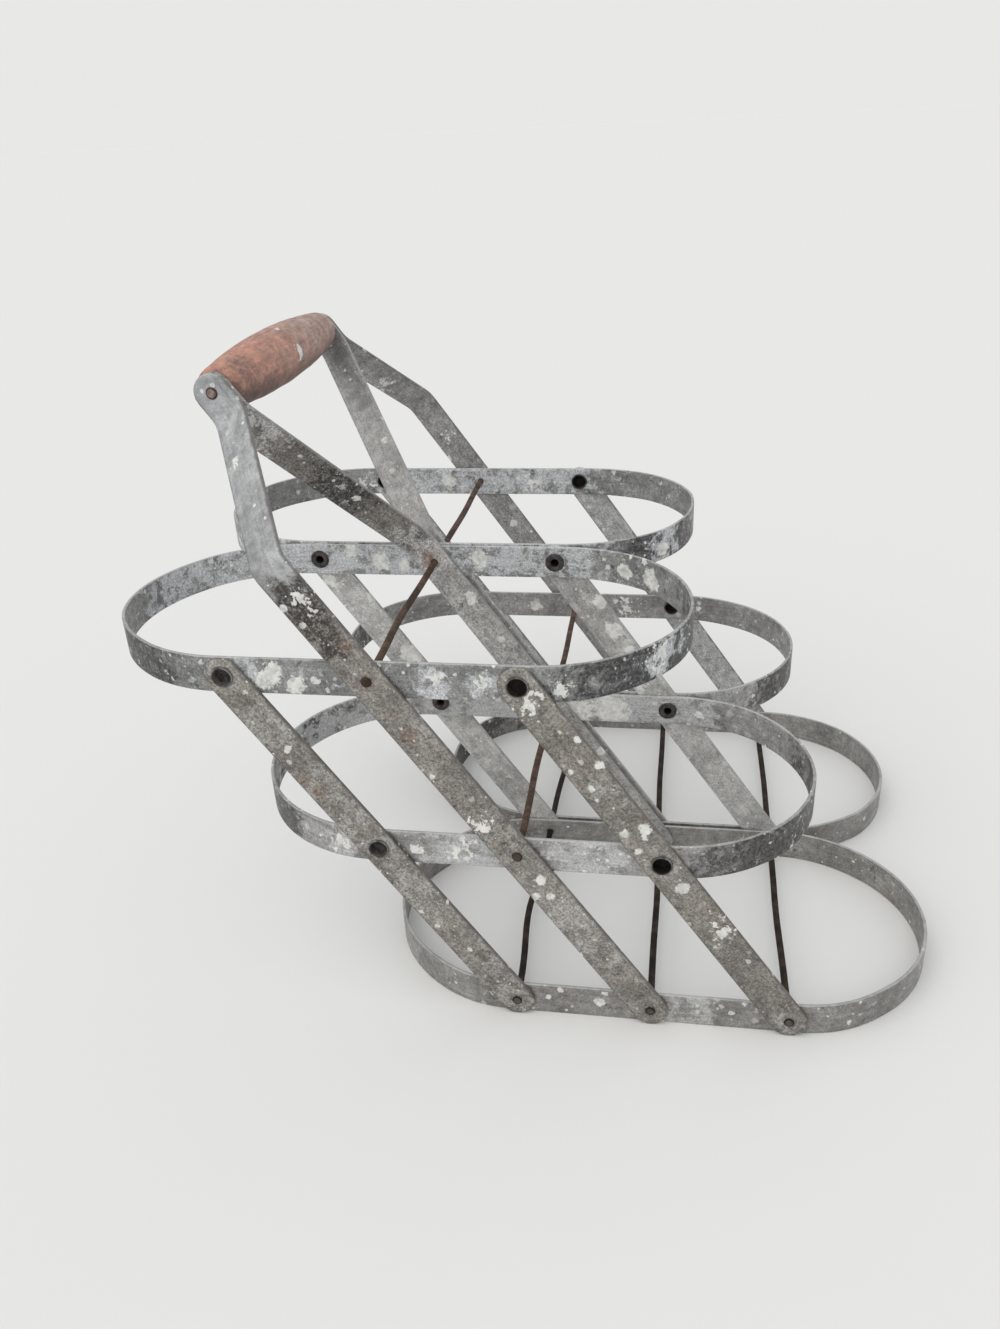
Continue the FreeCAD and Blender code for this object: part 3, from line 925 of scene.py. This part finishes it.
# Wires
# Five steel wires run across both rows: three under the bottles and one between them at each upper
# tier. They are pivots too, peened over outside the straps, and are brown with rust and a bit bent.
wire_radius = 0.00125
wire_head_radius = 0.0018
wire_head_height = 0.0005
wire_sides = 20
wire_step = 0.003
wire_bow_length = 0.03
back_bow_share = -0.6
# How far each wire bows sideways and upwards, and how far out from the middle
wire_bows = {
    "bottom_left_wire": (-0.0022, 0.0006, 0.060),
    "bottom_centre_wire": (0.0008, 0.0004, 0.030),
    "bottom_right_wire": (-0.0006, 0.0005, 0.045),
    "middle_wire": (-0.0009, -0.0006, 0.040),
    "top_wire": (-0.0016, -0.0010, 0.055),
}
wire_black = (0.018, 0.015, 0.013, 1)
wire_dark = (0.060, 0.040, 0.030, 1)
wire_brown = (0.145, 0.092, 0.067, 1)
wire_head_brown = (0.050, 0.034, 0.025, 1)
foot_head_grey = (0.112, 0.097, 0.086, 1)
wire_metallic = 0.25
wire_specular = 0.2
wire_bumps = {"strength": 0.5, "depth": 0.0002}
rim_tone = 0.5
head_dark_share = 0.6
# A hammered head from its top to its rim: shares of its height and radius, and the tone in its map
head_rings = (
    (1.0, 0.0, 1.0),
    (0.96, 0.35, 1.0),
    (0.82, 0.62, 0.9),
    (0.55, 0.85, 0.6),
    (0.25, 0.97, rim_tone),
    (0.0, 1.0, rim_tone),
)
hammer_size = 0.004
hammer_depth_share = 0.05


def turned_piece(name, outline, sides, place, drift=None, roughen=None):
    """A round piece along Y through a place, from an outline of (along Y, radius, tone) points.

    A radius of 0 closes an end; otherwise the last point joins the first. Its map named turned holds
    the tone."""
    shell = bmesh.new()
    rings = []
    for along, radius, tone in outline:
        centre = place + Vector((0, along, 0))
        if drift:
            centre += drift(along)
        if radius == 0:
            rings.append([shell.verts.new(centre)] * sides)
            continue
        ring = []
        for step in range(sides):
            turn = 2 * math.pi * step / sides
            spoke = Vector((math.cos(turn), 0, math.sin(turn)))
            rough = roughen(along, radius, spoke) if roughen else 0
            ring.append(shell.verts.new(centre + spoke * (radius + rough)))
        rings.append(ring)
    turned_map = shell.loops.layers.uv.new("turned")
    tones = [tone for _, _, tone in outline]
    bands = list(zip(rings, rings[1:], tones, tones[1:]))
    if outline[0][1] > 0:
        bands.append((rings[-1], rings[0], tones[-1], tones[0]))
    for ring, following, tone, next_tone in bands:
        for step in range(sides):
            other = (step + 1) % sides
            corner_tones = {
                ring[step]: tone,
                following[step]: next_tone,
                following[other]: next_tone,
                ring[other]: tone,
            }
            face = shell.faces.new(list(corner_tones))
            face.smooth = True
            for loop in face.loops:
                loop[turned_map].uv = corner_tones[loop.vert], 0
    bmesh.ops.recalc_face_normals(shell, faces=shell.faces)
    return new_object(name, shell)


rust_patterns = {
    "patch": {"size": 0.007, "detail": 6, "roughness": 0.7},
    "pits": {"size": 0.0009, "shift": (4, 2, 8), "detail": 3, "roughness": 0.7},
}
rust_spans = {
    "patch": (0.40, 0.66),
    "pits": (0.3, 0.7, 0.6, 1.4),
    "roughness": (0.3, 0.7, 0.55, 0.9),
}


def rust_group():
    """Brown rust: dark scale broken by lighter brown, pitted all over."""
    tree, given, result = new_group(
        "rust", {"Place": "Vector", "Dark": "Color", "Brown": "Color"},
        {"Color": "Color", "Roughness": "Float", "Height": "Float"},
    )
    marks = clouds(tree, given["Place"], rust_patterns)
    color = tint(tree, between(tree, marks["patch"], *rust_spans["patch"]), given["Dark"], given["Brown"])
    feed(tree, result, {
        "Color": toned(tree, color, marks["pits"], rust_spans["pits"]),
        "Roughness": between(tree, marks["pits"], *rust_spans["roughness"]),
        "Height": marks["pits"],
    })
    return tree


rust = rust_group()


def turned_tone(tree):
    """The tone that a turned piece holds in its map."""
    turned_map = add_node(tree, "UVMap", uv_map="turned").outputs["UV"]
    return add_node(tree, "SeparateXYZ", {0: turned_map}).outputs[0]


def rusted_wire_material(name, head_brown):
    """Wire gone brown, and nearly black close to the floor, with its heads in tones of their own."""
    material, tree, surface = new_material(name)
    place = add_node(tree, "TexCoord").outputs["Object"]
    height = add_node(tree, "SeparateXYZ", {0: place}).outputs[2]
    foot, halfway, top = [centre.z for centre in tier_centres.values()]
    raised = between(tree, height, foot, halfway)
    tone = turned_tone(tree)
    brown = tint(tree, raised, wire_dark, wire_brown)
    brown = tint(tree, between(tree, tone, 0.0, rim_tone), brown, wire_black)
    head_tone = tint(tree, between(tree, height, foot, top), foot_head_grey, head_brown)
    brown = tint(tree, between(tree, tone, rim_tone, 1.0), brown, head_tone)
    dark = tint(tree, raised, wire_black, wire_dark)
    dark = tint(tree, between(tree, tone, rim_tone, 1.0, end=head_dark_share), dark, head_tone)
    scale = use_group(tree, rust, {"Place": place, "Dark": dark, "Brown": brown})
    feed(tree, surface, {
        "Base Color": scale["Color"],
        "Roughness": scale["Roughness"],
        "Normal": relief(tree, scale["Height"], **wire_bumps),
        "Metallic": wire_metallic,
        "Specular IOR Level": wire_specular,
    })
    return material


def pin_outline(radius, half_length, head_radius, head_height, step):
    """Outline of a pin along Y with a hammered head beyond each end."""

    def head(way):
        return [
            (way * (half_length + head_height * up), head_radius * out, tone)
            for up, out, tone in head_rings
        ]

    count = math.ceil(2 * half_length / step)
    shank = [(half_length * (2 * stop / count - 1), radius, 0) for stop in range(count + 1)]
    return head(-1) + shank + head(1)[::-1]


def hammered(along, radius, spoke):
    """Small unevenness of rusted and hammered metal, always inwards."""
    bump = noise.noise(spoke + Vector((0, along / hammer_size, 0)))
    return -abs(bump) * radius * hammer_depth_share


def wire_bow(sideways, upward, place, half_length):
    """A wire runs true through the straps and bows between them."""

    def drift(along):
        share = math.sin(math.pi * min(1, abs(along) / half_length)) ** 2
        peak = math.exp(-(((abs(along) - place) / wire_bow_length) ** 2))
        return Vector((sideways, 0, upward)) * share * peak * (1 if along < 0 else back_bow_share)

    return drift


wire_rust = rusted_wire_material("wire_rust", wire_head_brown)
for node, (sideways, upward, place) in wire_bows.items():
    low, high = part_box(node)
    centre = (Vector(low) + Vector(high)) / 2
    half_length = high[1] - wire_head_height
    outline = pin_outline(wire_radius, half_length, wire_head_radius, wire_head_height, wire_step)
    bow = wire_bow(sideways, upward, place, half_length)
    wire = turned_piece(f"{node}_rod", outline, wire_sides, centre, bow, hammered)
    fit_piece(wire, node, wire_rust)

# Hollow rivets
# Twelve hollow rivets hold the side straps at the two upper tiers. Each is a short steel tube with
# a closed head at the back and its mouth rolled over at the front. Most are black inside, dark rust
# with a painted shade standing in for a deep bore, and the two at the front left show some worn
# metal there.
rivet_sides = 40
# Black of the rusted steel, which in the hollow is also a painted shade of a deep bore.
rivet_black_and_bore_shade = (0.006, 0.005, 0.005, 1)
rivet_soot = (0.030, 0.023, 0.019, 1)
rivet_rim = (0.30, 0.295, 0.28, 1)
rivet_radius = 0.0032
rivet_rim_radius = 0.0036
rivet_roll = 0.00025
rivet_head_height = 0.0007
rivet_rim_height = 0.0005
rivet_kinds = {
    "front": {"bore": 0.0029, "lip": 0.3, "rim": 0.9},
    "inner": {"bore": 0.0015, "lip": 0.25, "rim": 0.25},
    "back": {"bore": 0.0029, "lip": 0.2, "rim": 0.4},
}
worn_hollows = {"top_front_left_rivet": 0.42, "middle_front_left_rivet": 0.35}
rivet_wear_pattern = {"size": 0.0018, "detail": 5, "roughness": 0.7}
rivet_wear_span = (0.38, 0.62, 0.25, 1.0)
rivet_metallic = 0.6
rivet_specular = 0.15
rivet_bumps = {"strength": 0.4, "depth": 0.0002}


def rivet_material():
    """Steel that is black in the hollow, dark rust with a painted shade of a deep bore, and rubbed on the
    rim.
    """
    material, tree, surface = new_material("rivet_steel")
    place = add_node(tree, "TexCoord").outputs["Object"]
    worn = between(tree, cloud(tree, place, **rivet_wear_pattern), *rivet_wear_span)
    tone = reckon(tree, "MULTIPLY", turned_tone(tree), worn)
    scale = use_group(tree, rust, {"Place": place, "Dark": rivet_black_and_bore_shade, "Brown": rivet_soot})
    feed(tree, surface, {
        "Base Color": tint(tree, tone, scale["Color"], rivet_rim),
        "Roughness": scale["Roughness"],
        "Metallic": reckon(tree, "MULTIPLY", tone, rivet_metallic),
        "Specular IOR Level": rivet_specular,
        "Normal": relief(tree, scale["Height"], **rivet_bumps),
    })
    return material


rivet_steel = rivet_material()
for tier in ("middle", "top"):
    for layer, kind in rivet_kinds.items():
        for column in ("left", "right"):
            node = f"{tier}_{layer}_{column}_rivet"
            low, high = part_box(node)
            centre = (Vector(low) + Vector(high)) / 2
            crown = (high[1] - low[1]) / 2
            mouth = -crown
            floor = crown - rivet_head_height
            rim_back = mouth + rivet_rim_height
            bore, lip, rim = kind["bore"], kind["lip"], kind["rim"]
            hollow = worn_hollows.get(node, 0)
            # Tone 0 leaves the hollow black: dark rust with a painted shade standing in for a deep bore.
            outline = [
                (floor, 0, hollow),
                (floor, bore - rivet_roll, hollow),
                (floor - rivet_roll, bore, hollow),
                (mouth + rivet_roll, bore, hollow),
                (mouth, bore + rivet_roll, lip),
                (mouth, rivet_rim_radius - rivet_roll, rim),
                (mouth + rivet_roll, rivet_rim_radius, rim),
                (rim_back, rivet_rim_radius, rim),
                (rim_back, rivet_radius, rim),
                (floor, rivet_radius, rim),
                (floor, rivet_rim_radius, 1),
                (crown - rivet_roll, rivet_rim_radius, 1),
                (crown, rivet_rim_radius - rivet_roll, 1),
                (crown, 0, 1),
            ]
            rivet = turned_piece(f"{node}_shell", outline, rivet_sides, centre)
            fit_piece(rivet, node, rivet_steel)

# Handle rod
# A steel rod joins the four arm tips and carries the grip. It is stouter than the wires and rusted
# like them, and its ends are hammered over the outer arms.
rod_radius = 0.0015
rod_head_radius = 0.0020
rod_head_height = 0.0005
rod_head_brown = (0.33, 0.255, 0.22, 1)
low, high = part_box("handle_rod")
outline = pin_outline(rod_radius, high[1] - rod_head_height, rod_head_radius, rod_head_height, wire_step)
rod = turned_piece("handle_rod_pin", outline, wire_sides, (Vector(low) + Vector(high)) / 2, None, hammered)
fit_piece(rod, "handle_rod", rusted_wire_material("rod_rust", rod_head_brown))

# Wooden grip
# A turned hardwood barrel is bored for the rod and spins on it. Its red stain has worn to a chalky
# pink brown, with dark grain, grime in the hand's grasp that is partly painted shade under the near
# end, painted shade darkening the underside below the rod, and a few splashes of white paint.
grip_sides = 72
grip_stations = 72
grip_end_radius = 0.0073
grip_edge_round = 0.0013
grip_dent_depth = 0.0003
grip_dent_size = 0.012
wood_pink = (0.62, 0.30, 0.21, 1)
wood_brown = (0.24, 0.15, 0.125, 1)
wood_taupe = (0.50, 0.36, 0.305, 1)
# Dark specks and grime, and also painted shade under the near end.
wood_grime_and_shade = (0.075, 0.055, 0.05, 1)
# Painted shade: the colour that darkens the wood below the rod, where its underside is in shade.
grip_painted_shade = (0.095, 0.06, 0.053, 1)
grip_shade_above = 0.004
grip_shade_below = 0.010
rod_height = joint_places["grip_spin"].z
grip_patterns = {
    "mottle": {"size": 0.0042, "stretch": (1, 0.7, 1), "detail": 8, "roughness": 0.8},
    "broad": {"size": 0.016, "shift": (7, 3, 1), "detail": 3},
    "grain": {"size": 0.0010, "stretch": (1, 0.06, 1), "detail": 5, "roughness": 0.7, "distortion": 0.3},
    "speck": {"size": 0.0014, "detail": 4, "roughness": 0.7},
}
grip_spans = {
    "fade": (0.25, 0.75),
    "mottle": (0.30, 0.66, 0.0, 0.9),
    "grain": (0.35, 0.7, 1.10, 0.84),
    "speck": (0.56, 0.72, 0.0, 0.4),
    "shade": (rod_height - grip_shade_below, rod_height + grip_shade_above, 0.75, 0.0),
    "grime_and_shade": (0.25, 0.85, 0.0, 0.8),
    "roughness": (0.3, 0.7, 0.55, 0.8),
}
fade_per_metre = 7
shade_pull = 0.004
grime_and_shade_pull = 0.7
grip_bumps = {"strength": 0.4, "depth": 0.0003}
grip_scatter = 0.02
grip_drop = 0.004
grip_paint_spots = {
    "front": (-0.0897, 0.0006, 0.2142, 0.006),
    "top": (-0.0969, 0.0001, 0.2215, 0.004),
}
# Darker wood at and under the near end: grime, and partly painted shade.
grip_grime_and_shade_spots = {
    "under the near end": (-0.0915, -0.0440, 0.2050, 0.020),
    "near end": (-0.0920, -0.0540, 0.2130, 0.008),
    "underside": (-0.0905, -0.0280, 0.2030, 0.015),
}


def grip_material():
    """Faded stain over mottled wood, pinker to the front and greyer to the back, with painted shade below
    the rod.
    """
    material, tree, surface = new_material("grip_wood")
    place = add_node(tree, "TexCoord").outputs["Object"]
    _, along, height = add_node(tree, "SeparateXYZ", {0: place}).outputs
    marks = clouds(tree, place, grip_patterns)
    mottle = marks["mottle"]
    fade = reckon(tree, "ADD", marks["broad"], reckon(tree, "MULTIPLY", along, fade_per_metre))
    shade = leaning(tree, height, mottle, shade_pull)
    grime_and_shade = leaning(tree, mottle, nearest(tree, place, grip_grime_and_shade_spots), grime_and_shade_pull)
    color = tint(tree, between(tree, fade, *grip_spans["fade"]), wood_pink, wood_taupe)
    color = tint(tree, between(tree, mottle, *grip_spans["mottle"]), color, wood_brown)
    color = toned(tree, color, marks["grain"], grip_spans["grain"])
    color = tint(tree, between(tree, marks["speck"], *grip_spans["speck"]), color, wood_grime_and_shade)
    # Painted shade: darker below the rod.
    color = tint(tree, between(tree, shade, *grip_spans["shade"]), color, grip_painted_shade)
    # Grime near its spots, partly a painted shade under the near end.
    color = tint(tree, between(tree, grime_and_shade, *grip_spans["grime_and_shade"]), color, wood_grime_and_shade)
    flakes = nearest(tree, place, grip_paint_spots)
    paint = use_group(
        tree, paint_splashes,
        {"Place": place, "Flakes": flakes, "Scatter": grip_scatter, "Drop": grip_drop},
    )
    height = reckon(tree, "SUBTRACT", reckon(tree, "ADD", mottle, paint["Height"]), marks["grain"])
    feed(tree, surface, {
        "Base Color": tint(tree, paint["Mask"], color, paint["Color"]),
        "Roughness": between(tree, mottle, *grip_spans["roughness"]),
        "Normal": relief(tree, height, **grip_bumps),
    })
    return material


def dented(along, _radius, spoke):
    """Shallow dents of use in the wood."""
    return -abs(noise.noise(spoke + Vector((0, along / grip_dent_size, 0)))) * grip_dent_depth


low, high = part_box("handle_grip")
centre = (Vector(low) + Vector(high)) / 2
half_length = (high[1] - low[1]) / 2
grip_radius = (high[2] - low[2]) / 2
swell = grip_radius - grip_end_radius
barrel_radius = (half_length**2 + swell**2) / (2 * swell)
outline = [(-half_length, rod_hole_radius, 0), (-half_length, grip_end_radius - grip_edge_round, 0)]
barrel_half = half_length - grip_edge_round
for station in range(grip_stations + 1):
    along = barrel_half * (2 * station / grip_stations - 1)
    drop = barrel_radius - math.sqrt(barrel_radius**2 - along**2)
    outline.append((along, grip_radius - drop, 0))
outline += [(half_length, grip_end_radius - grip_edge_round, 0), (half_length, rod_hole_radius, 0)]
grip = turned_piece("handle_grip_barrel", outline, grip_sides, centre, None, dented)
fit_piece(grip, "handle_grip", grip_material())

# Floor and background
# The caddy stands on a plain pale sheet that runs off into a background of the same tone. The sheet
# is flat, and so large that its far edge lies at the horizon.
floor_half = 80.0
floor_tone = (0.78, 0.78, 0.765, 1)
floor_roughness = 0.9
floor_specular = 0.1
background_tone = (0.808, 0.809, 0.798, 1)
floor_mesh = bpy.data.meshes.new("floor")
floor_corners = [(x * floor_half, y * floor_half, 0) for x, y in ((-1, -1), (1, -1), (1, 1), (-1, 1))]
floor_mesh.from_pydata(floor_corners, [], [range(len(floor_corners))])
floor = bpy.data.objects.new("floor", floor_mesh)
bpy.context.collection.objects.link(floor)
floor_paper, tree, surface = new_material("floor_paper")
feed(tree, surface, {
    "Base Color": floor_tone, "Roughness": floor_roughness, "Specular IOR Level": floor_specular,
})
floor_mesh.materials.append(floor_paper)

# Light
# Soft light comes from all round, with a broad source above, in front and to the left. The light
# from all round is a little bluer and dimmer than the background that is seen.
ambient = (0.72, 0.73, 0.755, 1)
key_strength = 1.24
key_tone = (1.0, 0.97, 0.91)
key_spread_degrees = 75
key_turn_degrees = (28, -24, 0)
world = bpy.data.worlds.new("studio")
bpy.context.scene.world = world
world.use_nodes = True
tree = world.node_tree
path = add_node(tree, "LightPath").outputs
seen = reckon(tree, "MAXIMUM", path["Is Camera Ray"], path["Is Glossy Ray"])
seen = reckon(tree, "MAXIMUM", seen, path["Is Transmission Ray"])
feed(tree, tree.nodes["Background"].inputs, {"Color": tint(tree, seen, ambient, background_tone)})
key = bpy.data.lights.new("key", "SUN")
key.energy = key_strength
key.color = key_tone
key.angle = math.radians(key_spread_degrees)
key_lamp = bpy.data.objects.new("key", key)
key_lamp.rotation_euler = [math.radians(angle) for angle in key_turn_degrees]
bpy.context.collection.objects.link(key_lamp)

# Camera
# It looks down on the caddy from the front and a little to the right, as the photograph does. Its
# lens, place and turn were solved from the pivots of the linkage in the photograph.
lens_length = 28.564
sensor_width = 36
camera_place = (0.048741, -0.377665, 0.284257)
camera_turn_degrees = (62.821, 2.722, 9.112)
camera = bpy.data.cameras.new("camera")
camera.lens = lens_length
camera.sensor_width = sensor_width
view = bpy.data.objects.new("camera", camera)
view.location = camera_place
view.rotation_euler = [math.radians(angle) for angle in camera_turn_degrees]
bpy.context.collection.objects.link(view)
bpy.context.scene.camera = view
bpy.context.scene.view_settings.view_transform = "Standard"
